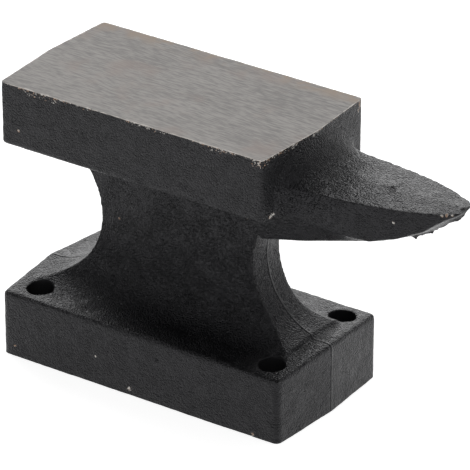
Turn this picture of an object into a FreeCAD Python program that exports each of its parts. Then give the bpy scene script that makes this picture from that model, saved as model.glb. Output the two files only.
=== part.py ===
import FreeCAD, Part
import math
import os

from FreeCAD import Vector

# Small bench anvil: one iron casting with a ground working face, in millimetres.
# Origin: centre of the four bolt holes, on the underside. +X runs to the horn, +Z is up.
# The mould parts on the plane y = 0, so every cast face that looks along X or Z leans
# back by the draft on each side of that plane and meets its mirror image in a low ridge.

# Driving dimensions ---------------------------------------------------------------
mould_draft = 3.3            # degrees, each side of the parting plane
overall_height = 106.3       # underside to ground face

body_length = 110.0          # at the long edges of the ground face
body_width = 60.4
body_depth = 23.8            # ground face to underside, at the long edges
body_corner_radius = 1.0     # upright corners
body_lower_radius = 1.5      # edges of the underside

foot_height = 24.6           # at the long edges
foot_heel_step = 1.2         # the foot's heel end stands this far outside the body's
foot_toe_step = 6.8          # the same at the horn's end
foot_side_step = 0.3         # the same on each side
foot_corner_radius = 2.2     # upright corners
foot_edge_radius = 1.5       # edges of the foot's top

web_thickness = 17.0         # waist, side to side
web_foot_fillet = 12.4       # waist side into the top of the foot
web_head_fillet = 12.0       # waist side into the underside of the body
arch_overhang = 1.05         # axis of an end arch beyond half the foot's length
arch_bite = 0.2              # an end arch's radius beyond half the gap it spans

horn_length = 61.6           # body's end to where the plan curve would close
horn_drop = 12.3             # top of the horn below the ground face, at the parting plane
horn_root_width = 37.0       # across the horn's top, clear of the hollow at its root
horn_fullness = 2.1          # exponent of the plan curve: 2 is an ellipse, more is blunter
horn_side_height = 11.8      # upright part of the horn's side
horn_burial = 14.4           # length of the horn's shank inside the body
keel_roundness = 0.28        # rise of the keel's round, as a share of its half width
root_sweep = 12.0            # hollow at the root: length along the horn
root_headroom = 0.7          # hollow at the root: its crest below the ground face
root_flare = 5.4             # hollow at the root: width gained on each side
root_steps = 7               # sections between the ends of the hollow

bolt_hole_diameter = 9.5     # clear for M8 or 5/16 in
bolt_end_margin = 9.4        # hole centres in from the foot's ends
bolt_side_margin = 8.8       # hole centres in from the foot's sides
bolt_offset = 0.9            # the bolts' centre ahead of the foot's

face_skin = 1.0              # depth of bare ground metal under the working face
joint_margin = 2.0           # regions of the casting meet this far beyond a tangent edge
cut_overrun = 5.0            # a cutting tool passes this far beyond what it cuts
edge_play = 0.5              # how far an edge may lie from the height it is looked for at

# The horn's stations: how far back from where the plan curve would close, as a share of
# the shank and horn, and then the drop of the shoulder, the drop of the keel and half the
# width of the keel. The last one is the blunt end of the tip.
horn_stations = [
    (1.000, 11.8, 30.4, 14.5),
    (0.790, 11.8, 26.8, 14.0),
    (0.553, 14.0, 22.0, 12.0),
    (0.408, 14.6, 19.2, 9.0),
    (0.276, 11.6, 15.0, 6.2),
    (0.158, 7.6, 10.2, 4.0),
    (0.079, 3.0, 5.0, 2.6),
    (0.045, 1.9, 3.0, 1.9),
    (0.022, 0.9, 1.5, 1.2),
]

# Derived --------------------------------------------------------------------------
lean = math.tan(math.radians(mould_draft))
foot_length = body_length + foot_heel_step + foot_toe_step
foot_width = body_width + 2 * foot_side_step
foot_x0 = -foot_length / 2 - bolt_offset
foot_x1 = foot_x0 + foot_length
foot_crown = foot_height + lean * foot_width / 2
body_x0 = foot_x0 + foot_heel_step
body_x1 = body_x0 + body_length
body_end = body_x1 + lean * body_width / 2
body_underside = overall_height - body_depth
body_belly = body_underside - lean * body_width / 2
web_half = web_thickness / 2
arch_reach = foot_length / 2 + arch_overhang
arch_height = (foot_crown + body_belly) / 2
arch_radius = (body_belly - foot_crown) / 2 + arch_bite
horn_top = overall_height - horn_drop
horn_close = body_end + horn_length
horn_shank = body_end - horn_burial
root_rise = horn_drop - root_headroom
bolt_spacing_x = foot_length - 2 * bolt_end_margin
bolt_spacing_y = foot_width - 2 * bolt_side_margin

foot_joint = foot_crown + joint_margin
body_joint = body_belly - joint_margin
horn_joint = body_end + joint_margin
skin_joint = overall_height - face_skin
far = 4 * overall_height     # larger than anything in the part


def box(x0, x1, y0, y1, z0, z1):
    """A block between two opposite corners."""
    return Part.makeBox(x1 - x0, y1 - y0, z1 - z0, Vector(x0, y0, z0))


def rectangle(y, x0, x1, z0, z1):
    """The corners of a rectangle in the plane of one y, in order round it."""
    return [Vector(x0, y, z0), Vector(x1, y, z0), Vector(x1, y, z1), Vector(x0, y, z1)]


def flat_face(corners):
    """A plane face through its corners."""
    return Part.Face(Part.makePolygon(corners + corners[:1]))


def drafted_block(x0, x1, z0, z1, width, under, over):
    """A block that grows towards the parting plane: its ends by the draft, and its
    underside or top too, where `under` or `over` is 1."""
    grow = lean * width / 2
    rings = [
        rectangle(-width / 2, x0, x1, z0, z1),
        rectangle(0, x0 - grow, x1 + grow, z0 - under * grow, z1 + over * grow),
        rectangle(width / 2, x0, x1, z0, z1),
    ]
    faces = [flat_face(rings[0]), flat_face(rings[-1])]
    for one, two in zip(rings, rings[1:]):
        for i in range(len(one)):
            j = (i + 1) % len(one)
            faces.append(flat_face([one[i], one[j], two[j], two[i]]))
    return Part.makeSolid(Part.makeShell(faces)).removeSplitter()


def upright_edges(shape, z_low, z_high, away):
    """The near-upright edges of a block, off the parting plane, between two heights."""
    found = []
    for edge in shape.Edges:
        ends = [vertex.Point for vertex in edge.Vertexes]
        if len(ends) < 2 or min(abs(point.y) for point in ends) < away:
            continue
        if abs(ends[0].z - ends[1].z) > (z_high - z_low) * 0.8:
            found.append(edge)
    return found


def level_edges(shape, height, play):
    """The edges of a block that lie at one height, give or take `play`."""
    return [edge for edge in shape.Edges
            if all(abs(vertex.Point.z - height) < play for vertex in edge.Vertexes)
            and edge.Length > play]


def foot_block():
    """The rectangular foot: flat underside, crowned top, rounded corners and top edges."""
    block = drafted_block(foot_x0, foot_x1, 0, foot_height, foot_width, 0, 1)
    corners = upright_edges(block, 0, foot_height, foot_width / 4)
    block = block.makeFillet(foot_corner_radius, corners)
    crown = foot_crown - foot_height + edge_play
    rim = [edge for edge in level_edges(block, foot_height, crown)
           if abs(edge.CenterOfMass.y) > foot_width / 2 - foot_corner_radius - edge_play]
    return block.makeFillet(foot_edge_radius, rim)


def body_block():
    """The body under the ground face, with a sharp flat top and rounded lower edges."""
    block = drafted_block(body_x0, body_x1, body_underside, overall_height, body_width, 1, 0)
    belly = body_underside - body_belly + edge_play
    rim = [edge for edge in level_edges(block, body_underside, belly)
           if abs(edge.CenterOfMass.y) > edge_play]
    block = block.makeFillet(body_lower_radius, rim)
    corners = upright_edges(block, body_underside, overall_height, body_width / 4)
    return block.makeFillet(body_corner_radius, corners)


def web():
    """The waist before its ends are hollowed: a web that flares into foot and body."""
    foot_line = foot_crown - lean * (web_half + web_foot_fillet)
    head_line = body_belly + lean * (web_half + web_head_fillet)
    half = 1 - math.sqrt(0.5)
    x = foot_x0
    foot_toe = Vector(x, web_half + web_foot_fillet, foot_line)
    foot_mid = Vector(x, web_half + half * web_foot_fillet, foot_line + half * web_foot_fillet)
    foot_top = Vector(x, web_half, foot_line + web_foot_fillet)
    head_low = Vector(x, web_half, head_line - web_head_fillet)
    head_mid = Vector(x, web_half + half * web_head_fillet, head_line - half * web_head_fillet)
    head_toe = Vector(x, web_half + web_head_fillet, head_line)
    foot_root = Vector(x, foot_toe.y, foot_height / 2)
    head_root = Vector(x, head_toe.y, overall_height - body_depth / 2)

    def flip(point):
        return Vector(point.x, -point.y, point.z)

    edges = [
        Part.LineSegment(foot_root, foot_toe).toShape(),
        Part.Arc(foot_toe, foot_mid, foot_top).toShape(),
        Part.LineSegment(foot_top, head_low).toShape(),
        Part.Arc(head_low, head_mid, head_toe).toShape(),
        Part.LineSegment(head_toe, head_root).toShape(),
        Part.LineSegment(head_root, flip(head_root)).toShape(),
        Part.LineSegment(flip(head_root), flip(head_toe)).toShape(),
        Part.Arc(flip(head_toe), flip(head_mid), flip(head_low)).toShape(),
        Part.LineSegment(flip(head_low), flip(foot_top)).toShape(),
        Part.Arc(flip(foot_top), flip(foot_mid), flip(foot_toe)).toShape(),
        Part.LineSegment(flip(foot_toe), flip(foot_root)).toShape(),
        Part.LineSegment(flip(foot_root), foot_root).toShape(),
    ]
    outline = Part.Face(Part.Wire(edges))
    length = min(foot_x1, body_x1) - foot_x0
    return outline.extrude(Vector(length, 0, 0))


def arch_void(x):
    """What an end arch takes away: two cones, base to base on the parting plane."""
    depth = foot_width / 2 + cut_overrun
    wide = arch_radius + lean * depth
    centre = Vector(x, 0, arch_height)
    cones = [Part.makeCone(arch_radius, wide, depth, centre, Vector(0, side, 0))
             for side in (-1, 1)]
    return cones[0].fuse(cones[1])


def horn_half_width(x):
    """Half the width of the horn's top: an ogive that starts inside the body."""
    start = body_end - root_sweep
    along = (x - start) / (horn_close - start)
    return horn_root_width / 2 * math.sqrt(1 - max(0.0, along) ** horn_fullness)


def horn_section(x, shoulder, keel, keel_half):
    """One section of the horn: crowned top, upright sides down to the shoulder, then
    slopes in to a rounded keel."""
    half = horn_half_width(x)
    edge = horn_top - lean * half
    ridge = Vector(x, 0, horn_top)
    right = Vector(x, half, edge)
    right_low = Vector(x, half, shoulder)
    keel_rise = keel + keel_roundness * keel_half
    right_keel = Vector(x, keel_half, keel_rise)
    left = Vector(x, -half, edge)
    left_low = Vector(x, -half, shoulder)
    left_keel = Vector(x, -keel_half, keel_rise)
    return Part.Wire([
        Part.LineSegment(ridge, right).toShape(),
        Part.LineSegment(right, right_low).toShape(),
        Part.LineSegment(right_low, right_keel).toShape(),
        Part.Arc(right_keel, Vector(x, 0, keel), left_keel).toShape(),
        Part.LineSegment(left_keel, left_low).toShape(),
        Part.LineSegment(left_low, left).toShape(),
        Part.LineSegment(left, ridge).toShape(),
    ])


def horn_blank():
    """The horn from inside the waist to its tip."""
    span = horn_close - horn_shank
    sections = [horn_section(horn_close - share * span, horn_top - shoulder, horn_top - keel, half)
                for share, shoulder, keel, half in horn_stations]
    return Part.makeLoft(sections, True, True)


def root_section(turn, inset):
    """One section of the hollow at the horn's root. `turn` is the angle along its
    quarter-ellipse, from 0 on the horn's top to 90 degrees on the end of the body, and
    `inset` moves the section back into the body."""
    angle = math.radians(turn)
    gain = 1 - math.cos(angle)
    x = body_end + root_sweep * (1 - math.sin(angle)) - inset
    half = horn_half_width(body_end + root_sweep) + root_flare * gain
    floor = horn_top - horn_side_height
    side = horn_top - lean * horn_root_width / 2
    right = Vector(x, half, side)
    left = Vector(x, -half, side)
    right_low = Vector(x, half, floor)
    left_low = Vector(x, -half, floor)
    crest = Vector(x, 0, horn_top + root_rise * gain)
    return Part.Wire([
        Part.Arc(right, crest, left).toShape(),
        Part.LineSegment(left, left_low).toShape(),
        Part.LineSegment(left_low, right_low).toShape(),
        Part.LineSegment(right_low, right).toShape(),
    ])


def horn_root():
    """The hollow that sweeps from the horn up to the end of the ground face."""
    sections = [root_section(90 * step / root_steps, 0) for step in range(root_steps + 1)]
    buried = root_section(90, body_end - body_x1 + body_corner_radius)
    return Part.makeLoft(sections + [buried], True, True)


def bolt_holes():
    """Four plain bores through the foot."""
    length = foot_crown + 2 * cut_overrun
    bores = [Part.makeCylinder(bolt_hole_diameter / 2, length,
                               Vector(sx * bolt_spacing_x / 2, sy * bolt_spacing_y / 2, -cut_overrun))
             for sx in (-1, 1) for sy in (-1, 1)]
    return Part.makeCompound(bores)


def casting():
    """The whole casting, as it leaves the mould and the drill."""
    waist = web().cut(arch_void(-arch_reach)).cut(arch_void(arch_reach))
    whole = foot_block().fuse([body_block(), waist])
    whole = whole.fuse([horn_blank(), horn_root()])
    whole = whole.cut(bolt_holes())
    return whole.removeSplitter()


def export(name, shape):
    """Write one region of the casting and say how large it is."""
    solids = shape.Solids
    print(name, "solids", len(solids), "volume", round(shape.Volume), "valid", shape.isValid())
    shape.exportStep("parts/" + name + ".step")


def main():
    os.makedirs("parts", exist_ok=True)
    whole = casting()
    print("casting", len(whole.Solids), round(whole.Volume), whole.isValid(), whole.BoundBox)
    below = box(-far, far, -far, far, -far, foot_joint)
    middle = box(-far, far, -far, far, foot_joint, body_joint)
    head = box(-far, horn_joint, -far, far, body_joint, skin_joint)
    skin = box(-far, far, -far, far, skin_joint, far)
    ahead = box(horn_joint, far, -far, far, foot_joint, skin_joint)
    export("foot", whole.common(below))
    export("waist", whole.common(middle).cut(ahead))
    export("body", whole.common(head))
    export("horn", whole.common(ahead))
    export("face", whole.common(skin))


main()
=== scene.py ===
"""Bench anvil: the visual model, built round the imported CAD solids.

The anvil is one iron casting with a ground working face. The CAD regions of the casting
are joined, given a cast skin as real geometry, ground flat on top and underneath, and
cut again into the same named regions. Everything is in metres, in the CAD frame.
"""
import logging
import math
from dataclasses import dataclass, field
from enum import Enum

import bmesh
import bpy
import numpy as np
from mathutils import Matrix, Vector


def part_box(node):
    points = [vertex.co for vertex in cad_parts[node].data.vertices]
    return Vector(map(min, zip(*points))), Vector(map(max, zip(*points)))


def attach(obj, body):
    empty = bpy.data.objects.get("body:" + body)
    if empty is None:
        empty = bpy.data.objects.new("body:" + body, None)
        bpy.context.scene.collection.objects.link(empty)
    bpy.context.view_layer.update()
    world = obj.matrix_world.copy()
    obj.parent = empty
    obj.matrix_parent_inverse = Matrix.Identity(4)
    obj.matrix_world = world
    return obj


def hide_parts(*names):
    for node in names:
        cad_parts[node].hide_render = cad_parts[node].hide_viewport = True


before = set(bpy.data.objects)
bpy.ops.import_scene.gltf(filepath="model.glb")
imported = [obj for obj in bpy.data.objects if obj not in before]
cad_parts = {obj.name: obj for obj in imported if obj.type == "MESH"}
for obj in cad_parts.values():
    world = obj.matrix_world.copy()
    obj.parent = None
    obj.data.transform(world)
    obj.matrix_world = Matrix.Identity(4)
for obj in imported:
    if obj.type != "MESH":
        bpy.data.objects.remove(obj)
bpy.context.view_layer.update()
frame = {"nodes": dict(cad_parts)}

MM = 0.001
ROOT_BODY = "root"
WHITE = (1.0, 1.0, 1.0, 1)
MOULD_DRAFT = math.radians(3.3)
HASH_PRIMES = np.array([73856093, 19349663, 83492791])
SEED_PRIME = 2654435761
MIX_PRIME = 1274126177

Colour = tuple[float, float, float, float]
Place = tuple[float, float, float]
Socket = bpy.types.NodeSocket

logging.basicConfig(level=logging.INFO, format="%(levelname)s %(message)s")
log = logging.getLogger("anvil")


class Slot(Enum):
    """The record's material slots."""

    PAINT = "black_paint"
    GROUND = "ground_iron"


# ---------------------------------------------------------------------------- noise


@dataclass(frozen=True)
class LatticeNoise:
    """Smooth seeded noise on a cubic lattice, from -1 to 1."""

    seed: int

    def _corner(self, cell: np.ndarray) -> np.ndarray:
        """Hash lattice corners to values.

        Args:
            cell: whole-number corner positions, one row each.

        Returns:
            One value from -1 to 1 for each corner.
        """
        mixed = cell.astype(np.int64) * HASH_PRIMES
        code = mixed[:, 0] ^ mixed[:, 1] ^ mixed[:, 2] ^ (self.seed * SEED_PRIME)
        code = (code ^ (code >> 13)) * MIX_PRIME
        code = code ^ (code >> 16)
        return (code & 0xFFFF) / 32767.5 - 1.0

    def at(self, points: np.ndarray, size: float) -> np.ndarray:
        """Sample the noise.

        Args:
            points: positions in metres, one row each.
            size: distance between lattice corners, in metres.

        Returns:
            One smooth value for each point.
        """
        scaled = points / size
        cell = np.floor(scaled)
        part = scaled - cell
        part = part * part * part * (part * (part * 6 - 15) + 10)
        total = np.zeros(len(points))
        for corner in range(8):
            step = np.array([corner & 1, (corner >> 1) & 1, (corner >> 2) & 1])
            share = np.where(step, part, 1 - part).prod(axis=1)
            total += share * self._corner(cell + step)
        return total


# ------------------------------------------------------------------------ mesh tools


def mesh_points(mesh: bpy.types.Mesh) -> np.ndarray:
    """Read a mesh's vertex positions.

    Args:
        mesh: the mesh.

    Returns:
        The positions in metres, one row each.
    """
    flat = np.empty(len(mesh.vertices) * 3, np.float64)
    mesh.vertices.foreach_get("co", flat)
    return flat.reshape(-1, 3)


def set_points(mesh: bpy.types.Mesh, points: np.ndarray) -> None:
    """Write a mesh's vertex positions back."""
    mesh.vertices.foreach_set("co", points.astype(np.float32).ravel())
    mesh.update()


def mesh_normals(mesh: bpy.types.Mesh) -> np.ndarray:
    """Read a mesh's smooth vertex normals.

    Args:
        mesh: the mesh.

    Returns:
        The normals, one row each.
    """
    flat = np.empty(len(mesh.vertices) * 3, np.float32)
    mesh.vertices.foreach_get("normal", flat)
    return flat.reshape(-1, 3).astype(np.float64)


def new_object(name: str, mesh: bpy.types.Mesh) -> bpy.types.Object:
    """Put a mesh in the scene.

    Args:
        name: the object's name.
        mesh: its mesh.

    Returns:
        The new object.
    """
    obj = bpy.data.objects.new(name, mesh)
    bpy.context.scene.collection.objects.link(obj)
    return obj


def ramp(values: np.ndarray, low: float, high: float) -> np.ndarray:
    """Rise smoothly from 0 at low to 1 at high."""
    part = np.clip((values - low) / (high - low), 0, 1)
    return part * part * (3 - 2 * part)


def relax(mesh: bpy.types.Mesh, points: np.ndarray, passes: int, pull: float) -> np.ndarray:
    """Average each vertex with its neighbours.

    Args:
        mesh: the mesh whose edges say what is next to what.
        points: starting positions.
        passes: how many times to average.
        pull: share of the way to the neighbours' middle on each pass.

    Returns:
        The relaxed positions.
    """
    pairs = np.empty(len(mesh.edges) * 2, np.int32)
    mesh.edges.foreach_get("vertices", pairs)
    pairs = pairs.reshape(-1, 2)
    count = np.bincount(pairs.ravel(), minlength=len(points)).clip(1)[:, None]
    out = points.copy()
    for _ in range(passes):
        total = np.zeros_like(out)
        for axis in range(3):
            ahead = np.bincount(pairs[:, 0], weights=out[pairs[:, 1], axis], minlength=len(out))
            behind = np.bincount(pairs[:, 1], weights=out[pairs[:, 0], axis], minlength=len(out))
            total[:, axis] = ahead + behind
        out += pull * (total / count - out)
    return out


# ------------------------------------------------------------------------- casting


@dataclass
class HornFlash:
    """The thin fin of iron left where the mould halves met under the horn's tip."""

    thickness: float = 1.0 * MM
    reach: float = 1.6 * MM
    nub_reach: float = 2.3 * MM
    start_back: float = 36.0 * MM
    nub_back: float = 19.1 * MM
    nub_half_width: float = 1.5 * MM
    end_gap: float = 0.4 * MM
    keel_band: float = 0.25 * MM
    buried: float = 1.6 * MM
    fade_length: float = 8 * MM
    steps: int = 90
    noise: LatticeNoise = field(default_factory=lambda: LatticeNoise(71))

    def keel_line(self, horn: bpy.types.Object) -> tuple[np.ndarray, np.ndarray]:
        """Find the horn's lowest line near the parting plane.

        Args:
            horn: the CAD horn.

        Returns:
            Distances along X, and the keel's height at each.
        """
        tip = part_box("horn")[1].x
        points = mesh_points(horn.data)
        near = points[np.abs(points[:, 1]) < self.keel_band]
        stations = np.linspace(tip - self.start_back, tip - self.end_gap, self.steps)
        xs: list[float] = []
        zs: list[float] = []
        for x in np.unique(np.round(near[:, 0], 5)):
            column = near[np.abs(near[:, 0] - x) < 1e-5]
            xs.append(float(x))
            zs.append(float(column[:, 2].min()))
        return stations, np.interp(stations, xs, zs)

    def build(self, horn: bpy.types.Object) -> bpy.types.Object:
        """Make the fin as a closed strip that is buried in the horn along its top.

        Args:
            horn: the CAD horn.

        Returns:
            The fin.
        """
        stations, keel = self.keel_line(horn)
        tip = stations[-1]
        rows = np.stack([stations, np.zeros_like(stations), keel], axis=1)
        rough = 0.55 + 0.45 * self.noise.at(rows, 1.3 * MM) + 0.35 * self.noise.at(rows, 0.7 * MM)
        fade = ramp(stations, stations[0], stations[0] + self.fade_length)
        depth = self.reach * np.clip(rough, 0.05, 1.3) * fade
        nub = np.clip(1 - ((stations - (tip - self.nub_back)) / self.nub_half_width) ** 2, 0, 1)
        depth = np.maximum(depth, self.nub_reach * nub)
        mesh_data = bmesh.new()
        half = self.thickness / 2
        rings: list[list[bmesh.types.BMVert]] = []
        for x, z, drop in zip(stations, keel, depth):
            corners = [(x, -half, z + self.buried), (x, half, z + self.buried),
                       (x, half, z - drop), (x, -half, z - drop)]
            rings.append([mesh_data.verts.new(corner) for corner in corners])
        for one, two in zip(rings, rings[1:]):
            for i in range(4):
                j = (i + 1) % 4
                mesh_data.faces.new((one[i], one[j], two[j], two[i]))
        mesh_data.faces.new(rings[0])
        mesh_data.faces.new(list(reversed(rings[-1])))
        bmesh.ops.recalc_face_normals(mesh_data, faces=mesh_data.faces[:])
        mesh = bpy.data.meshes.new("horn_flash")
        mesh_data.to_mesh(mesh)
        mesh_data.free()
        return new_object("horn_flash", mesh)


@dataclass
class CastingBlank:
    """The whole casting as one fine mesh, before the grinder touches it."""

    voxel: float = 0.6 * MM
    overshoot: float = 3.0 * MM
    relax_passes: int = 3
    relax_pull: float = 0.5
    plane_slack: float = 0.05 * MM
    exposed_from: float = 0.03 * MM
    exposed_full: float = 0.16 * MM

    def gather(self, nodes: dict[str, bpy.types.Object]) -> bpy.types.Object:
        """Join copies of the CAD regions, stretched past the planes to be cut flat.

        Args:
            nodes: the CAD objects by name.

        Returns:
            One object that holds every region.
        """
        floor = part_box("foot")[0].z
        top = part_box("face")[1].z
        joined = bmesh.new()
        for obj in nodes.values():
            joined.from_mesh(obj.data)
        flash = HornFlash().build(nodes["horn"])
        joined.from_mesh(flash.data)
        bpy.data.objects.remove(flash)
        for vert in joined.verts:
            if abs(vert.co.z - floor) < self.plane_slack:
                vert.co.z -= self.overshoot
            elif abs(vert.co.z - top) < self.plane_slack:
                vert.co.z += self.overshoot
        mesh = bpy.data.meshes.new("casting_blank")
        joined.to_mesh(mesh)
        joined.free()
        return new_object("casting_blank", mesh)

    def build(self, nodes: dict[str, bpy.types.Object]) -> bpy.types.Mesh:
        """Fuse the regions into one even mesh and soften its edges.

        Args:
            nodes: the CAD objects by name.

        Returns:
            The fused mesh, with how far each point stands out on an edge.
        """
        blank = self.gather(nodes)
        fuse = blank.modifiers.new("fuse", "REMESH")
        fuse.mode = "VOXEL"
        fuse.voxel_size = self.voxel
        depsgraph = bpy.context.evaluated_depsgraph_get()
        mesh = bpy.data.meshes.new_from_object(blank.evaluated_get(depsgraph))
        bpy.data.objects.remove(blank)
        sharp = mesh_points(mesh)
        soft = relax(mesh, sharp, self.relax_passes, self.relax_pull)
        set_points(mesh, soft)
        stand = ((sharp - soft) * mesh_normals(mesh)).sum(axis=1)
        stand = relax(mesh, np.stack([stand, stand, stand], axis=1), 2, 0.5)[:, 0]
        exposure = ramp(stand, self.exposed_from, self.exposed_full)
        layer = mesh.attributes.new("exposure", "FLOAT", "POINT")
        layer.data.foreach_set("value", exposure.astype(np.float32))
        log.info("casting blank: %d points, %d faces", len(mesh.vertices), len(mesh.polygons))
        return mesh


@dataclass
class CastSkin:
    """The uneven skin that sand leaves on iron: waves, crumbled edges and pits.

    A wave is its size, its height and its seed. A pit is its place, its radius and its
    depth, all in millimetres.
    """

    waves: tuple[tuple[float, float, int], ...] = (
        (11.0 * MM, 0.07 * MM, 3),
        (4.5 * MM, 0.06 * MM, 5),
        (2.2 * MM, 0.05 * MM, 7),
        (1.3 * MM, 0.04 * MM, 11),
    )
    crumble: float = 0.22 * MM
    crumble_size: float = 1.5 * MM
    rough_place: Place = (56.0 * MM, 18.5 * MM, 94.0 * MM)
    rough_reach: float = 16.0 * MM
    rough_gain: float = 2.6
    lip_height: float = 0.35 * MM
    lip_width: float = 0.6 * MM
    lip_steps: int = 60
    root_slack: float = 0.02 * MM
    pits: tuple[tuple[float, float, float, float, float], ...] = (
        (7.1, -30.5, 17.6, 1.1, 0.5),
        (17.6, -30.2, 88.6, 1.0, 0.3),
        (19.3, -30.2, 87.9, 1.2, 0.3),
        (26.7, -30.2, 85.2, 0.9, 0.25),
        (-14.0, -30.2, 97.0, 0.8, 0.25),
    )

    def lip(self, points: np.ndarray, horn: bpy.types.Object) -> np.ndarray:
        """Raise the sharp line where the hollow at the horn's root meets the body's end.

        Args:
            points: positions on the casting.
            horn: the CAD horn.

        Returns:
            How far out each point goes.
        """
        corners = mesh_points(horn.data)
        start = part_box("horn")[0].x
        outline = corners[np.abs(corners[:, 0] - start) < self.root_slack]
        upper = outline[np.abs(outline[:, 1]) > 0.8 * np.abs(outline[:, 1]).max()]
        push = np.zeros(len(points))
        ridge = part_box("face")[1].x
        near = np.abs(points[:, 0] - ridge) < 3 * self.lip_width
        level = np.linspace(upper[:, 2].min(), upper[:, 2].max(), self.lip_steps)
        order = np.argsort(upper[:, 2])
        across = np.interp(level, upper[order, 2], np.abs(upper[order, 1]))
        away = np.full(int(near.sum()), np.inf)
        for y, z in zip(across, level):
            side = np.abs(points[near, 1]) - y
            away = np.minimum(away, np.hypot(side, points[near, 2] - z))
        away = np.hypot(away, points[near, 0] - ridge)
        push[near] = self.lip_height * (1 - ramp(away, 0.3 * self.lip_width, 1.6 * self.lip_width))
        return push

    def apply(self, mesh: bpy.types.Mesh, horn: bpy.types.Object) -> None:
        """Push the mesh's points in and out along their normals.

        Args:
            mesh: the casting, with its exposure layer.
            horn: the CAD horn.
        """
        points = mesh_points(mesh)
        normals = mesh_normals(mesh)
        exposure = np.empty(len(points), np.float32)
        mesh.attributes["exposure"].data.foreach_get("value", exposure)
        push = np.zeros(len(points))
        for size, height, seed in self.waves:
            push += height * LatticeNoise(seed).at(points, size)
        rough = LatticeNoise(19).at(points, self.crumble_size)
        rough += 0.6 * LatticeNoise(23).at(points, self.crumble_size / 2)
        mirrored = np.stack([points[:, 0], np.abs(points[:, 1]), points[:, 2]], axis=1)
        away = np.linalg.norm(mirrored - np.array(self.rough_place), axis=1)
        close = 1 - ramp(away, 0.3 * self.rough_reach, self.rough_reach)
        gain = 1 + self.rough_gain * close
        push -= self.crumble * gain * exposure * np.clip(rough + 0.15, -0.4, 1.2)
        push += self.lip(points, horn)
        for x, y, z, radius, depth in self.pits:
            away = np.linalg.norm(points - np.array([x, y, z]) * MM, axis=1)
            push -= depth * MM * (1 - ramp(away, 0.2 * radius * MM, radius * MM))
        set_points(mesh, points + normals * push[:, None])


# ------------------------------------------------------------------------- regions


class Cutter:
    """Cuts one closed mesh with planes, and keeps each part closed."""

    def __init__(self, mesh: bpy.types.Mesh) -> None:
        """Hold the casting, with its smooth normals stored on its points.

        Args:
            mesh: the finished casting.
        """
        self.whole = bmesh.new()
        self.whole.from_mesh(mesh)
        self.normal_layer = self.whole.verts.layers.float_vector.new("skin_normal")
        self.whole.normal_update()
        for vert in self.whole.verts:
            vert[self.normal_layer] = vert.normal

    @staticmethod
    def keep_side(part: bmesh.types.BMesh, point: Vector, outward: Vector) -> None:
        """Drop what lies past a plane and close the cut.

        Args:
            part: the mesh to cut.
            point: a point on the plane.
            outward: the plane's normal, towards what is dropped.
        """
        geometry = part.verts[:] + part.edges[:] + part.faces[:]
        bmesh.ops.bisect_plane(part, geom=geometry, dist=1e-7, plane_co=point,
                               plane_no=outward, clear_outer=True)
        rim = [edge for edge in part.edges if edge.is_boundary]
        if not rim:
            return
        filled = bmesh.ops.triangle_fill(part, edges=rim, use_beauty=True, normal=outward)
        for face in filled["geom"]:
            if isinstance(face, bmesh.types.BMFace):
                face.smooth = False
                if face.normal.dot(outward) < 0:
                    face.normal_flip()

    def part(self, name: str, planes: list[tuple[Vector, Vector]]) -> bpy.types.Mesh:
        """Cut out one region.

        Args:
            name: the region's name.
            planes: a point and an outward normal for each plane that bounds it.

        Returns:
            The region as a closed mesh whose skin keeps the casting's own normals.
        """
        piece = self.whole.copy()
        for face in piece.faces:
            face.smooth = True
        for point, outward in planes:
            self.keep_side(piece, point, outward)
        mesh = bpy.data.meshes.new(name)
        piece.to_mesh(mesh)
        piece.free()
        self.restore_normals(mesh)
        return mesh

    @staticmethod
    def restore_normals(mesh: bpy.types.Mesh) -> None:
        """Give skin corners the casting's normals, and cut faces their own.

        Args:
            mesh: a region, with the stored normals on its points.
        """
        stored = np.empty(len(mesh.vertices) * 3, np.float32)
        mesh.attributes["skin_normal"].data.foreach_get("vector", stored)
        stored = stored.reshape(-1, 3)
        stored /= np.linalg.norm(stored, axis=1).clip(1e-9)[:, None]
        corner = np.empty(len(mesh.loops), np.int32)
        mesh.loops.foreach_get("vertex_index", corner)
        totals = np.empty(len(mesh.polygons), np.int32)
        mesh.polygons.foreach_get("loop_total", totals)
        smooth = np.empty(len(mesh.polygons), bool)
        mesh.polygons.foreach_get("use_smooth", smooth)
        own = np.empty(len(mesh.polygons) * 3, np.float32)
        mesh.polygons.foreach_get("normal", own)
        face_of = np.repeat(np.arange(len(totals)), totals)
        normals = stored[corner]
        flat = ~smooth[face_of]
        normals[flat] = own.reshape(-1, 3)[face_of[flat]]
        mesh.attributes.remove(mesh.attributes["skin_normal"])
        mesh.normals_split_custom_set(normals)


@dataclass
class Anvil:
    """The casting and its ground face, as named regions."""

    ground_depth: float = 0.14 * MM

    def build(self, nodes: dict[str, bpy.types.Object]) -> dict[str, bpy.types.Object]:
        """Build every region of the anvil.

        Args:
            nodes: the CAD objects by name.

        Returns:
            The finished pieces by name.
        """
        mesh = CastingBlank().build(nodes)
        CastSkin().apply(mesh, nodes["horn"])
        cutter = Cutter(mesh)
        up, ahead = Vector((0, 0, 1)), Vector((1, 0, 0))
        floor = Vector((0, 0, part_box("foot")[0].z))
        instep = Vector((0, 0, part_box("foot")[1].z))
        shoulder = Vector((0, 0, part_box("waist")[1].z))
        root = Vector((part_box("horn")[0].x, 0, 0))
        face = Vector((0, 0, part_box("face")[1].z))
        skin = face - up * self.ground_depth
        plans = {
            "foot": [(floor, -up), (instep, up)],
            "waist": [(instep, -up), (shoulder, up), (root, ahead)],
            "body": [(shoulder, -up), (skin, up), (root, ahead)],
            "horn": [(instep, -up), (skin, up), (root, -ahead)],
            "ground_face": [(skin, -up), (face, up), (root, ahead)],
        }
        pieces: dict[str, bpy.types.Object] = {}
        for name, planes in plans.items():
            region = cutter.part(name + "_casting", planes)
            pieces[name] = new_object(name + "_casting", region)
            log.info("%s: %d faces", name, len(region.polygons))
        cutter.whole.free()
        bpy.data.meshes.remove(mesh)
        return pieces


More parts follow.
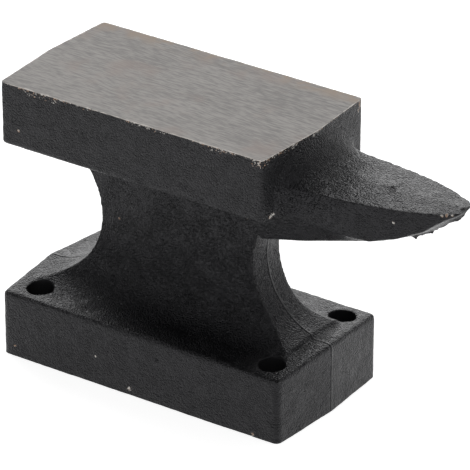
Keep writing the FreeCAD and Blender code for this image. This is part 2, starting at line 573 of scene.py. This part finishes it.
# ------------------------------------------------------------------------ shaders


class Nodes:
    """A short way to lay shader nodes in one tree."""

    def __init__(self, tree: bpy.types.NodeTree) -> None:
        """Hold the tree that nodes are added to."""
        self.tree = tree

    def add(self, kind: str, **settings: object) -> bpy.types.Node:
        """Add a node.

        Args:
            kind: the node's type name without its ShaderNode prefix.
            settings: properties to set on it.

        Returns:
            The new node.
        """
        node = self.tree.nodes.new("ShaderNode" + kind)
        for key, value in settings.items():
            setattr(node, key, value)
        return node

    def join(self, source: Socket, target: Socket) -> None:
        """Link one socket to another."""
        self.tree.links.new(source, target)

    def put(self, value: object, socket: Socket) -> None:
        """Link a socket, or set a plain value on it.

        Args:
            value: the socket to link from, or the plain value.
            socket: the socket it goes to.
        """
        if isinstance(value, Socket):
            self.join(value, socket)
        else:
            socket.default_value = value

    def math(self, operation: str, *values: object, clamp: bool = False) -> Socket:
        """Add a Math node.

        Args:
            operation: what it works out.
            values: its inputs in order.
            clamp: keep the result from 0 to 1.

        Returns:
            The result.
        """
        node = self.add("Math", operation=operation, use_clamp=clamp)
        for value, socket in zip(values, node.inputs):
            self.put(value, socket)
        return node.outputs[0]

    def smooth_step(self, value: object, low: object, high: object) -> Socket:
        """Rise smoothly from 0 to 1.

        Args:
            value: what is looked at.
            low: where the result is 0.
            high: where the result is 1. It may be below low.

        Returns:
            The result.
        """
        node = self.add("MapRange", interpolation_type="SMOOTHSTEP")
        self.put(value, node.inputs["Value"])
        self.put(low, node.inputs["From Min"])
        self.put(high, node.inputs["From Max"])
        return node.outputs["Result"]

    def noise(self, vector: object, scale: object, detail: float = 2.0,
              roughness: float = 0.5) -> Socket:
        """Add a Noise Texture.

        Args:
            vector: the position it is sampled at.
            scale: its cells per metre.
            detail: how many finer layers it has.
            roughness: how strong those are.

        Returns:
            Its factor.
        """
        node = self.add("TexNoise")
        self.put(vector, node.inputs["Vector"])
        self.put(scale, node.inputs["Scale"])
        node.inputs["Detail"].default_value = detail
        node.inputs["Roughness"].default_value = roughness
        return node.outputs[0]

    def stretch(self, vector: Socket, factors: tuple[float, float, float]) -> Socket:
        """Scale a position on each axis.

        Args:
            vector: the position.
            factors: the factor for each axis.

        Returns:
            The scaled position.
        """
        node = self.add("VectorMath", operation="MULTIPLY")
        self.join(vector, node.inputs[0])
        node.inputs[1].default_value = factors
        return node.outputs[0]

    def blend(self, factor: object, one: object, two: object) -> Socket:
        """Mix two colours.

        Args:
            factor: 0 for the first colour and 1 for the second.
            one: the first colour.
            two: the second colour.

        Returns:
            The mixed colour.
        """
        node = self.add("Mix", data_type="RGBA")
        self.put(factor, node.inputs[0])
        self.put(one, node.inputs[6])
        self.put(two, node.inputs[7])
        return node.outputs[2]

    def distance(self, position: Socket, place: Place) -> Socket:
        """Measure how far a position is from a place.

        Args:
            position: the position.
            place: the fixed place.

        Returns:
            The distance in metres.
        """
        node = self.add("VectorMath", operation="DISTANCE")
        self.join(position, node.inputs[0])
        node.inputs[1].default_value = place
        return node.outputs["Value"]

    def axes(self, vector: Socket) -> tuple[Socket, ...]:
        """Split a position.

        Args:
            vector: the position.

        Returns:
            Its X, Y and Z.
        """
        node = self.add("SeparateXYZ")
        self.join(vector, node.inputs[0])
        return tuple(node.outputs)

    def bump(self, height: Socket, shader: bpy.types.Node) -> None:
        """Give a shader relief.

        Args:
            height: the relief in metres.
            shader: the shader it goes to.
        """
        node = self.add("Bump")
        node.inputs["Strength"].default_value = 1.0
        node.inputs["Distance"].default_value = 1.0
        self.join(height, node.inputs["Height"])
        self.join(node.outputs[0], shader.inputs["Normal"])


class Effect(Enum):
    """Shared surface effects, each one a node group."""

    SAND_GRAIN = "sand_grain"
    SPECKS = "specks"


def group_frame(name: str, inputs: dict[str, float], outputs: list[str]
                ) -> tuple[Nodes, bpy.types.Node, bpy.types.Node]:
    """Start a node group that works on a position.

    Args:
        name: the group's name.
        inputs: its number inputs with their usual values.
        outputs: its number outputs.

    Returns:
        The group's nodes, its input node and its output node.
    """
    tree = bpy.data.node_groups.new(name, "ShaderNodeTree")
    tree.interface.new_socket("Position", in_out="INPUT", socket_type="NodeSocketVector")
    for key, value in inputs.items():
        socket = tree.interface.new_socket(key, in_out="INPUT", socket_type="NodeSocketFloat")
        socket.default_value = value
    for key in outputs:
        tree.interface.new_socket(key, in_out="OUTPUT", socket_type="NodeSocketFloat")
    nodes = Nodes(tree)
    return nodes, tree.nodes.new("NodeGroupInput"), tree.nodes.new("NodeGroupOutput")


def build_sand_grain() -> bpy.types.NodeTree:
    """Build the grain that moulding sand leaves: fine pebbles under broad patches.

    Returns:
        The node group.
    """
    inputs = {"Pebble": 1700.0, "Patch": 160.0, "Patchiness": 0.5}
    nodes, start, end = group_frame(Effect.SAND_GRAIN.value, inputs, ["Height", "Tone"])
    position = start.outputs["Position"]
    pebbles = nodes.add("TexVoronoi", feature="F1", distance="EUCLIDEAN")
    nodes.join(position, pebbles.inputs["Vector"])
    nodes.join(start.outputs["Pebble"], pebbles.inputs["Scale"])
    pick = nodes.add("SeparateColor")
    nodes.join(pebbles.outputs["Color"], pick.inputs[0])
    dome = nodes.math("SUBTRACT", 0.55, pebbles.outputs["Distance"])
    tall = nodes.math("MULTIPLY_ADD", pick.outputs[0], 1.5, 0.25)
    dome = nodes.math("MULTIPLY", dome, tall)
    half = nodes.math("MULTIPLY", start.outputs["Pebble"], 0.55)
    coarse = nodes.math("SUBTRACT", nodes.noise(position, half, 1.0, 0.5), 0.5)
    patch = nodes.noise(position, start.outputs["Patch"], 2.0, 0.5)
    strength = nodes.smooth_step(patch, 0.3, 0.7)
    least = nodes.math("SUBTRACT", 1.0, start.outputs["Patchiness"])
    strength = nodes.math("MULTIPLY_ADD", strength, start.outputs["Patchiness"], least)
    grain = nodes.math("MULTIPLY_ADD", coarse, 0.7, dome)
    grain = nodes.math("MULTIPLY", grain, strength)
    nodes.join(grain, end.inputs["Height"])
    nodes.join(nodes.math("MULTIPLY_ADD", grain, 0.5, patch), end.inputs["Tone"])
    return nodes.tree


def build_specks() -> bpy.types.NodeTree:
    """Build scattered round specks of mixed size, few and far between.

    Returns:
        The node group.
    """
    inputs = {"Cells": 130.0, "Share": 0.2, "Size": 0.06}
    nodes, start, end = group_frame(Effect.SPECKS.value, inputs, ["Mask"])
    warp = nodes.noise(start.outputs["Position"], 900.0, 1.0)
    cells = nodes.add("TexVoronoi", feature="F1", distance="EUCLIDEAN")
    nodes.join(start.outputs["Position"], cells.inputs["Vector"])
    nodes.join(start.outputs["Cells"], cells.inputs["Scale"])
    pick = nodes.add("SeparateColor")
    nodes.join(cells.outputs["Color"], pick.inputs[0])
    chosen = nodes.math("LESS_THAN", pick.outputs[0], start.outputs["Share"])
    grown = nodes.math("MULTIPLY_ADD", pick.outputs[1], 1.4, 0.3)
    radius = nodes.math("MULTIPLY", grown, start.outputs["Size"])
    ragged = nodes.math("MULTIPLY", radius, nodes.math("MULTIPLY_ADD", warp, 1.6, 0.2))
    inside = nodes.math("LESS_THAN", cells.outputs["Distance"], ragged)
    nodes.join(nodes.math("MULTIPLY", inside, chosen), end.inputs["Mask"])
    return nodes.tree


BUILDERS = {Effect.SAND_GRAIN: build_sand_grain, Effect.SPECKS: build_specks}


def effect(nodes: Nodes, which: Effect, position: Socket, **values: object) -> bpy.types.Node:
    """Place a shared effect in a material, and build it the first time.

    Args:
        nodes: the material's nodes.
        which: the effect.
        position: where it is sampled.
        values: its inputs.

    Returns:
        The group node.
    """
    tree = bpy.data.node_groups.get(which.value) or BUILDERS[which]()
    node = nodes.add("Group", node_tree=tree)
    nodes.join(position, node.inputs["Position"])
    for key, value in values.items():
        nodes.put(value, node.inputs[key])
    return node


def blank_material(name: str) -> tuple[bpy.types.Material, Nodes, bpy.types.Node]:
    """Start a material with one Principled shader.

    Args:
        name: the material's name.

    Returns:
        The material, its nodes and its shader.
    """
    material = bpy.data.materials.new(name)
    material.use_nodes = True
    material.node_tree.nodes.clear()
    nodes = Nodes(material.node_tree)
    shader = nodes.add("BsdfPrincipled")
    output = nodes.add("OutputMaterial")
    nodes.join(shader.outputs[0], output.inputs[0])
    return material, nodes, shader


@dataclass(frozen=True)
class SatinPaint:
    """Black satin paint over sand-cast iron, chipped along the ground edges, paler along its edges
    as real wear and as a painted highlight.

    A knock is its place and its size, all in millimetres.
    """

    base: Colour = (0.0056, 0.0056, 0.0063, 1)
    # paler paint: real wear on the edges, and a painted highlight on the edges and on the lip line
    worn_and_highlight: Colour = (0.034, 0.033, 0.033, 1)
    chip_pale: Colour = (0.52, 0.50, 0.47, 1)
    chip_tan: Colour = (0.30, 0.20, 0.14, 1)
    roughness: float = 0.29
    tone_roughness: float = 0.10
    chip_roughness: float = 0.25
    bore_roughness: float = 0.3
    bore_smoothing: float = 0.85
    ior: float = 1.33
    gloss_tint: Colour = (0.955, 0.95, 1.0, 1)
    grain_height: float = 0.5 * MM
    pit_depth: float = 0.7 * MM
    edge_height: float = 1.3 * MM
    parting_height: float = 0.8 * MM
    parting_half_width: float = 0.35 * MM
    parting_fade: float = 8 * MM
    lip_rise: float = 6.4 * MM
    lip_height: float = 0.3 * MM
    lip_half_width: float = 0.35 * MM
    # how strongly the lip line beside the horn's root is painted paler, as a painted highlight
    lip_highlight: float = 1.4
    chip_least: float = 0.3 * MM
    chip_spread: float = 2.0 * MM
    corner_spread: float = 3.6 * MM
    bore_radius: float = 4.75 * MM
    bore_places: tuple[float, float] = (49.6 * MM, 21.7 * MM)
    knocks: tuple[tuple[float, float, float, float], ...] = (
        (51.6, -25.6, 83.9, 0.9),
        (51.5, -24.3, 84.2, 0.6),
        (51.8, 28.4, 104.4, 1.1),
        (51.8, 27.4, 102.9, 0.6),
        (92.9, -13.3, 88.6, 0.5),
        (30.2, -8.5, 70.0, 0.4),
        (-51.3, -30.2, 89.2, 0.5),
        (-4.6, -30.5, 2.1, 0.9),
        (-54.9, -30.5, 4.0, 0.4),
        (-19.2, -30.5, 10.7, 0.35),
        (47.6, -30.5, 0.9, 0.6),
        (108.2, -7.4, 93.2, 0.5),
        (109.6, -6.7, 93.3, 0.6),
        (111.2, -5.6, 93.3, 0.5),
    )

    def build(self) -> bpy.types.Material:
        """Lay the paint's nodes.

        Returns:
            The material.
        """
        material, nodes, shader = blank_material("satin_black_paint")
        position = nodes.add("TexCoord").outputs["Object"]
        axes = nodes.axes(position)
        grain = effect(nodes, Effect.SAND_GRAIN, position)
        edge = nodes.add("Attribute", attribute_name="exposure").outputs["Fac"]
        lip = self.lip_line(nodes, axes)
        bore = self.bore_mask(nodes, axes)
        specks = effect(nodes, Effect.SPECKS, position, Cells=120.0, Share=0.10, Size=0.035)
        bare = nodes.math("MAXIMUM", self.chip_mask(nodes, position, axes[2]),
                          nodes.math("MULTIPLY", specks.outputs[0], 0.7))
        # Paler paint on exposed edges is partly real wear and partly a painted highlight; on the
        # lip line it is a painted highlight.
        wear_and_highlight = nodes.math("MULTIPLY", edge, nodes.smooth_step(grain.outputs["Tone"], 0.35, 0.75))
        wear_and_highlight = nodes.math("MAXIMUM", wear_and_highlight, nodes.math("MULTIPLY", lip, self.lip_highlight))
        stain = nodes.smooth_step(nodes.noise(position, 800.0, 1.0), 0.44, 0.56)
        chip = nodes.blend(stain, self.chip_pale, self.chip_tan)
        colour = nodes.blend(bare, nodes.blend(wear_and_highlight, self.base, self.worn_and_highlight), chip)
        nodes.join(colour, shader.inputs["Base Color"])
        shader.inputs["IOR"].default_value = self.ior
        shader.inputs["Specular Tint"].default_value = self.gloss_tint
        rough = nodes.math("MULTIPLY_ADD", grain.outputs["Tone"], self.tone_roughness,
                           self.roughness - self.tone_roughness / 2)
        rough = nodes.math("MULTIPLY_ADD", bare, self.chip_roughness, rough)
        rough = nodes.math("MULTIPLY_ADD", bore, self.bore_roughness, rough, clamp=True)
        nodes.join(rough, shader.inputs["Roughness"])
        grain_height = nodes.math("MULTIPLY_ADD", bore, -self.bore_smoothing * self.grain_height,
                                  self.grain_height)
        height = nodes.math("MULTIPLY", grain.outputs["Height"], grain_height)
        height = nodes.math("MULTIPLY_ADD", self.parting_line(nodes, axes),
                            self.parting_height, height)
        height = nodes.math("MULTIPLY_ADD", lip, self.lip_height, height)
        crumbs = nodes.math("MULTIPLY", nodes.noise(position, 1000.0, 1.0, 0.6), edge)
        height = nodes.math("MULTIPLY_ADD", crumbs, self.edge_height, height)
        pits = effect(nodes, Effect.SPECKS, position, Cells=330.0, Share=0.16, Size=0.17)
        height = nodes.math("MULTIPLY_ADD", pits.outputs[0], -self.pit_depth, height)
        nodes.bump(height, shader)
        return material

    def parting_line(self, nodes: Nodes, axes: tuple[Socket, ...]) -> Socket:
        """Find the bead where the mould halves met, down the ends of waist and foot.

        Args:
            nodes: the material's nodes.
            axes: the point's X, Y and Z.

        Returns:
            1 on the bead, fading to 0 on both sides.
        """
        _, y, z = axes
        line = nodes.math("DIVIDE", y, self.parting_half_width)
        line = nodes.math("MULTIPLY", nodes.math("MULTIPLY", line, line), -1.0)
        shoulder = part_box("waist")[1].z
        low = nodes.smooth_step(z, shoulder, shoulder - self.parting_fade)
        return nodes.math("MULTIPLY", nodes.math("EXPONENT", line), low)

    def lip_line(self, nodes: Nodes, axes: tuple[Socket, ...]) -> Socket:
        """Find the thin upright line beside the hollow at the horn's root.

        Args:
            nodes: the material's nodes.
            axes: the point's X, Y and Z.

        Returns:
            1 on the line, fading to 0 on both sides.
        """
        x, y, z = axes
        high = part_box("horn")[1]
        ahead = nodes.math("SUBTRACT", x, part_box("face")[1].x)
        side = nodes.math("SUBTRACT", nodes.math("ABSOLUTE", y), high.y)
        square = nodes.math("MULTIPLY_ADD", side, side, nodes.math("MULTIPLY", ahead, ahead))
        line = nodes.math("EXPONENT", nodes.math("DIVIDE", square, -self.lip_half_width ** 2))
        shoulder = high.z - self.lip_rise
        above = nodes.smooth_step(z, high.z - 18 * MM, high.z - 14 * MM)
        below = nodes.smooth_step(z, shoulder + 1.5 * MM, shoulder - 0.5 * MM)
        return nodes.math("MULTIPLY", line, nodes.math("MULTIPLY", above, below))

    def bore_mask(self, nodes: Nodes, axes: tuple[Socket, ...]) -> Socket:
        """Find the walls of the bolt holes, which are smoother than the cast skin.

        Args:
            nodes: the material's nodes.
            axes: the point's X, Y and Z.

        Returns:
            1 inside the bolt holes and 0 elsewhere.
        """
        x, y, z = axes
        along = nodes.math("SUBTRACT", nodes.math("ABSOLUTE", x), self.bore_places[0])
        across = nodes.math("SUBTRACT", nodes.math("ABSOLUTE", y), self.bore_places[1])
        squares = nodes.math("MULTIPLY_ADD", along, along, nodes.math("MULTIPLY", across, across))
        away = nodes.math("SQRT", squares)
        inside = nodes.smooth_step(away, self.bore_radius + 0.5 * MM, self.bore_radius + 0.1 * MM)
        return nodes.math("MULTIPLY", inside, nodes.math("LESS_THAN", z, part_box("foot")[1].z))

    def chip_mask(self, nodes: Nodes, position: Socket, z: Socket) -> Socket:
        """Find where paint has come off.

        Args:
            nodes: the material's nodes.
            position: the point on the anvil.
            z: its height.

        Returns:
            1 where the iron is bare: crumbs under the ground edges, more of them at the
            corner by the horn, and a few single knocks.
        """
        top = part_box("face")[1]
        crumb = nodes.noise(position, 1500.0, 1.0, 0.6)
        broad = nodes.noise(position, 75.0, 2.0, 0.5)
        below = nodes.math("SUBTRACT", top.z, z)
        reach = nodes.math("MULTIPLY_ADD", nodes.smooth_step(broad, 0.36, 0.66),
                           self.chip_spread, self.chip_least)
        corner = (top.x - 4.0 * MM, -top.y, top.z - 1.0 * MM)
        near = nodes.smooth_step(nodes.distance(position, corner), 6.0 * MM, 1.5 * MM)
        reach = nodes.math("MULTIPLY_ADD", near, self.corner_spread, reach)
        depth = nodes.math("DIVIDE", below, reach)
        bar = nodes.math("MULTIPLY_ADD", depth, 0.16, 0.50)
        crumbs = nodes.smooth_step(crumb, bar, nodes.math("ADD", bar, 0.05))
        mask = nodes.math("MULTIPLY", crumbs, nodes.math("LESS_THAN", depth, 1.0))
        ragged = nodes.noise(position, 1300.0, 2.0, 0.6)
        for x, y, height, size in self.knocks:
            away = nodes.distance(position, (x * MM, y * MM, height * MM))
            rim = nodes.math("MULTIPLY_ADD", ragged, 4.2 * size * MM, -1.25 * size * MM)
            mask = nodes.math("MAXIMUM", mask, nodes.math("LESS_THAN", away, rim))
        return mask


@dataclass(frozen=True)
class GroundIron:
    """Bare cast iron ground lengthwise, with a light bloom of oxide and a bright burr, whose pale
    colour is also a painted highlight along the face's edges.

    A set of scratches is its turn in degrees, its scale and its share.
    """

    bright: Colour = (0.232, 0.222, 0.212, 1)
    dull: Colour = (0.128, 0.123, 0.119, 1)
    bloom: Colour = (0.196, 0.161, 0.146, 1)
    rust: Colour = (0.210, 0.171, 0.137, 1)
    # pale burr colour, partly a real burr and partly a painted highlight on the face's edges
    burr_and_highlight: Colour = (0.338, 0.319, 0.300, 1)
    roughness: float = 0.60
    streak_roughness: float = 0.22
    streak_height: float = 0.09 * MM
    burr_and_highlight_width: float = 0.35 * MM
    rust_width: float = 9 * MM
    wander: float = 2.5 * MM
    scratch_sets: tuple[tuple[float, float, float], ...] = (
        (1.0, 1300.0, 0.45), (4.0, 1900.0, 0.35), (-3.0, 1000.0, 0.2))

    def scratches(self, nodes: Nodes, position: Socket) -> Socket:
        """Lay short wavering scratches, most of them lengthwise.

        Args:
            nodes: the material's nodes.
            position: the point on the anvil.

        Returns:
            A value from about 0 to 1, low in a scratch.
        """
        drift = nodes.add("TexNoise")
        nodes.join(position, drift.inputs["Vector"])
        drift.inputs["Scale"].default_value = 45.0
        wander = nodes.add("VectorMath", operation="MULTIPLY_ADD")
        nodes.join(drift.outputs["Color"], wander.inputs[0])
        wander.inputs[1].default_value = (0.0, self.wander, 0.0)
        nodes.join(position, wander.inputs[2])
        total: object = 0.0
        for turn, scale, share in self.scratch_sets:
            spin = nodes.add("VectorRotate", rotation_type="Z_AXIS")
            nodes.join(wander.outputs[0], spin.inputs["Vector"])
            spin.inputs["Angle"].default_value = math.radians(turn)
            drawn = nodes.stretch(spin.outputs[0], (0.14, 1.0, 1.0))
            total = nodes.math("MULTIPLY_ADD", nodes.noise(drawn, scale, 2.0, 0.6), share, total)
        return total

    def edge_mask(self, nodes: Nodes, position: Socket) -> Socket:
        """Find the burr along the edges of the face, which is painted pale, partly as a painted
        highlight.

        Args:
            nodes: the material's nodes.
            position: the point on the anvil.

        Returns:
            1 on the burr and 0 elsewhere.
        """
        low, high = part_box("face")
        x, y, _ = nodes.axes(position)
        out = nodes.math("ABSOLUTE", y)
        side = nodes.math("SUBTRACT", high.y, out)
        ends = nodes.math("ABSOLUTE", nodes.math("SUBTRACT", x, (low.x + high.x) / 2))
        ends = nodes.math("MULTIPLY_ADD", out, math.tan(MOULD_DRAFT), ends)
        ends = nodes.math("SUBTRACT", (high.x - low.x) / 2, ends)
        gap = nodes.math("MINIMUM", side, ends)
        ragged = nodes.math("MULTIPLY_ADD", nodes.noise(position, 420.0, 2.0), 6.0, -2.2)
        return nodes.math("LESS_THAN", gap, nodes.math("MULTIPLY", ragged, self.burr_and_highlight_width))

    def build(self) -> bpy.types.Material:
        """Lay the ground metal's nodes.

        Returns:
            The material.
        """
        material, nodes, shader = blank_material("ground_cast_iron")
        shader.inputs["Metallic"].default_value = 1.0
        position = nodes.add("TexCoord").outputs["Object"]
        streak = self.scratches(nodes, position)
        bands = nodes.noise(nodes.stretch(position, (0.35, 1.0, 1.0)), 60.0, 3.0, 0.55)
        cloud = nodes.noise(position, 42.0, 3.0, 0.6)
        tone = nodes.math("MULTIPLY_ADD", bands, 0.15, nodes.math("MULTIPLY", streak, 0.85))
        colour = nodes.blend(nodes.smooth_step(tone, 0.40, 0.58), self.dull, self.bright)
        bloom = nodes.math("MULTIPLY", nodes.smooth_step(cloud, 0.5, 0.66), 0.5)
        colour = nodes.blend(bloom, colour, self.bloom)
        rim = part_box("face")[1].y
        back = nodes.smooth_step(nodes.axes(position)[1], rim - self.rust_width, rim)
        patchy = nodes.smooth_step(nodes.noise(position, 130.0, 3.0, 0.6), 0.42, 0.62)
        colour = nodes.blend(nodes.math("MULTIPLY", back, patchy), colour, self.rust)
        # the burr is painted paler, partly as a painted highlight along the edges
        colour = nodes.blend(self.edge_mask(nodes, position), colour, self.burr_and_highlight)
        nodes.join(colour, shader.inputs["Base Color"])
        rough = nodes.math("MULTIPLY_ADD", streak, self.streak_roughness,
                           self.roughness - self.streak_roughness / 2)
        nodes.join(rough, shader.inputs["Roughness"])
        nodes.bump(nodes.math("MULTIPLY", streak, self.streak_height), shader)
        return material


# -------------------------------------------------------------------------- studio


@dataclass(frozen=True)
class Glow:
    """A soft patch of the surroundings, brighter or darker than the rest."""

    azimuth: float
    elevation: float
    inner: float
    outer: float
    strength: float

    def direction(self) -> Vector:
        """Return the way to the patch's middle; azimuth 0 is +Y and 90 is +X."""
        turn, lift = math.radians(self.azimuth), math.radians(self.elevation)
        return Vector((math.sin(turn) * math.cos(lift), math.cos(turn) * math.cos(lift),
                       math.sin(lift)))

    def add_to(self, nodes: Nodes, way: Socket, total: object) -> Socket:
        """Add the patch to a brightness.

        Args:
            nodes: the world's nodes.
            way: the direction looked in.
            total: the brightness so far.

        Returns:
            The brightness with the patch in it.
        """
        toward = nodes.add("VectorMath", operation="DOT_PRODUCT")
        nodes.join(way, toward.inputs[0])
        toward.inputs[1].default_value = self.direction()
        edge, core = math.cos(math.radians(self.outer)), math.cos(math.radians(self.inner))
        share = nodes.smooth_step(toward.outputs["Value"], edge, core)
        return nodes.math("MULTIPLY_ADD", share, self.strength, total)


@dataclass
class Studio:
    """A pale room with a light table for a floor, one soft box, and the camera.

    The room has a bright panel behind and a dim side at the front left.
    """

    azimuth: float = 34.888
    elevation: float = 27.025
    distance: float = 1.76505
    target: Place = (0.00068, 0.02632, 0.04044)
    focal_length: float = 382.34
    sensor: float = 36.0
    clip_end: float = 20.0
    floor_size: float = 6.0
    floor_colour: Colour = (0.93, 0.93, 0.93, 1)
    floor_roughness: float = 0.95
    floor_gloss: float = 0.05
    floor_glow: float = 0.71
    box_place: Place = (0.52, -0.91, 1.34)
    box_size: float = 0.5
    box_brightness: float = 4.0
    room: float = 0.46
    glows: tuple[Glow, ...] = (
        Glow(azimuth=-38, elevation=24, inner=12, outer=42, strength=2.4),
        Glow(azimuth=-120, elevation=55, inner=12, outer=60, strength=-0.29),
    )

    def camera(self) -> None:
        """Place the camera."""
        turn, lift = math.radians(self.azimuth), math.radians(self.elevation)
        away = Vector((math.sin(turn) * math.cos(lift), -math.cos(turn) * math.cos(lift),
                       math.sin(lift)))
        data = bpy.data.cameras.new("camera")
        data.lens = self.focal_length
        data.sensor_width = self.sensor
        data.clip_end = self.clip_end
        camera = bpy.data.objects.new("camera", data)
        camera.location = Vector(self.target) + away * self.distance
        camera.rotation_euler = (-away).to_track_quat("-Z", "Y").to_euler()
        bpy.context.scene.collection.objects.link(camera)
        bpy.context.scene.camera = camera

    def floor(self) -> None:
        """Lay a pale matt floor under the foot, lit a little from beneath as a light table."""
        material, nodes, shader = blank_material("pale_floor")
        shader.inputs["Base Color"].default_value = self.floor_colour
        shader.inputs["Roughness"].default_value = self.floor_roughness
        shader.inputs["Specular IOR Level"].default_value = self.floor_gloss
        shader.inputs["Emission Color"].default_value = WHITE
        shader.inputs["Emission Strength"].default_value = self.floor_glow
        half = self.floor_size / 2
        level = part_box("foot")[0].z
        mesh = bpy.data.meshes.new("floor")
        corners = [(-half, -half, level), (half, -half, level),
                   (half, half, level), (-half, half, level)]
        mesh.from_pydata(corners, [], [(0, 1, 2, 3)])
        mesh.materials.append(material)
        new_object("floor", mesh)

    def soft_box(self) -> None:
        """Hang a soft square light that faces the anvil, above and behind the camera."""
        name = "soft_box_behind_camera"
        data = bpy.data.lights.new(name, "AREA")
        data.size = self.box_size
        data.energy = self.box_brightness * math.pi * self.box_size * self.box_size
        lamp = bpy.data.objects.new(name, data)
        lamp.location = self.box_place
        facing = Vector(self.target) - Vector(self.box_place)
        lamp.rotation_euler = facing.to_track_quat("-Z", "Y").to_euler()
        bpy.context.scene.collection.objects.link(lamp)

    def surroundings(self) -> None:
        """Fill the room with light, brighter behind and dimmer at the front left.

        The backdrop looks white where it is looked at straight.
        """
        world = bpy.data.worlds.new("room")
        world.use_nodes = True
        world.node_tree.nodes.clear()
        nodes = Nodes(world.node_tree)
        way = nodes.add("TexCoord").outputs["Generated"]
        total: object = self.room
        for glow in self.glows:
            total = glow.add_to(nodes, way, total)
        seen = nodes.add("LightPath").outputs["Is Camera Ray"]
        total = nodes.math("MAXIMUM", total, seen)
        background = nodes.add("Background")
        output = nodes.add("OutputWorld")
        nodes.join(total, background.inputs["Strength"])
        background.inputs["Color"].default_value = WHITE
        nodes.join(background.outputs[0], output.inputs["Surface"])
        bpy.context.scene.world = world

    def build(self) -> None:
        """Set the whole stage."""
        self.camera()
        self.floor()
        self.surroundings()
        self.soft_box()
        bpy.context.scene.view_settings.view_transform = "Standard"


# ---------------------------------------------------------------------------- main


def main() -> None:
    """Build the anvil and its stage."""
    pieces = Anvil().build(frame["nodes"])
    paint = SatinPaint().build()
    iron = GroundIron().build()
    for name, piece in pieces.items():
        ground = name == "ground_face"
        piece.data.materials.clear()
        piece.data.materials.append(iron if ground else paint)
        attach(piece, ROOT_BODY)
        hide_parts("face" if ground else name)
        log.info("dressed %s", piece.name)
    Studio().build()


if __name__ == "__main__":
    main()
